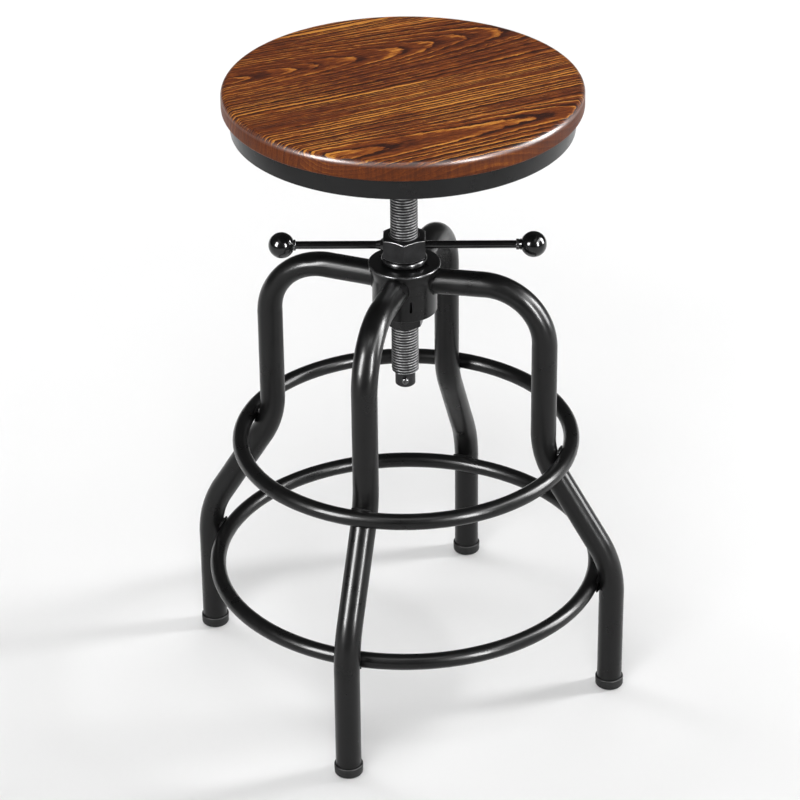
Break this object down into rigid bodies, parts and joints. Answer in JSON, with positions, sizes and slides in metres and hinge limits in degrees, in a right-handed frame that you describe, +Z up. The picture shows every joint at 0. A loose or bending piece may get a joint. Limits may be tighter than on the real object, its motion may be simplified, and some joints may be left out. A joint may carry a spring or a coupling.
{
  "type": "adjustable swivel stool",
  "caption": "Round wooden seat that swivels on a lifting screw, raised by a T-bar nut, on bent tube legs with ring footrests.",
  "frame": {"origin": "on the floor, on the lifting screw's axis", "axes": "+Z up along the screw; the front leg points along -Y and the right leg along +X, within a degree"},
  "size_m": [0.4575, 0.4575, 0.6475],
  "materials": {
    "seat_wood": "stained, brushed open grain under satin lacquer",
    "black_paint": "satin black powder coat",
    "black_oxide": "blackened, lightly oiled machined steel",
    "screw_steel": "blackened cut thread with worn crests",
    "ball_enamel": "gloss black enamel",
    "cap_rubber": "matte moulded rubber",
    "bright_steel": "zinc plated, satin",
    "bronze": "turned bearing bronze"
  },
  "bodies": {
    "frame": {"hub": "black_paint", "thrust_washer": "black_oxide", "guide_nut": "black_paint", "guide_key": "bright_steel", "leg_front": "black_paint", "leg_right": "black_paint", "leg_back": "black_paint", "leg_left": "black_paint", "foot_cap_front": "cap_rubber", "foot_cap_right": "cap_rubber", "foot_cap_back": "cap_rubber", "foot_cap_left": "cap_rubber", "upper_ring": "black_paint", "lower_ring": "black_paint"},
    "t_bar": {"tbar_nut": "black_oxide", "left_arm": "black_paint", "right_arm": "black_paint", "left_ball": "ball_enamel", "right_ball": "ball_enamel"},
    "screw": {"lift_screw": "screw_steel", "stop_pin": "black_oxide", "swivel_thrust_washer": "bronze", "retaining_washer": "bright_steel", "retaining_clip": "black_oxide"},
    "seat": {"swivel_bush": "bronze", "swivel_socket": "black_paint", "seat_pan": "black_paint", "seat_board": "seat_wood", "plate_screws": "bright_steel", "rim_screws": "bright_steel"}
  },
  "joints": [
    {"name": "tbar_turn", "type": "hinge", "parent": "frame", "child": "t_bar", "pos_m": [0, 0, 0.4784], "axis": [0, 0, 1], "range_deg": [-6120, 10800]},
    {"name": "screw_lift", "type": "slide", "parent": "frame", "child": "screw", "axis": [0, 0, 1], "range_m": [-0.09, 0.051]},
    {"name": "seat_swivel", "type": "hinge", "parent": "screw", "child": "seat", "pos_m": [0, 0, 0.6], "axis": [0, 0, 1], "continuous": true}
  ],
  "couplings": [
    {"joint": "screw_lift", "follows": "tbar_turn", "m_per_rad": -0.00047746}
  ]
}
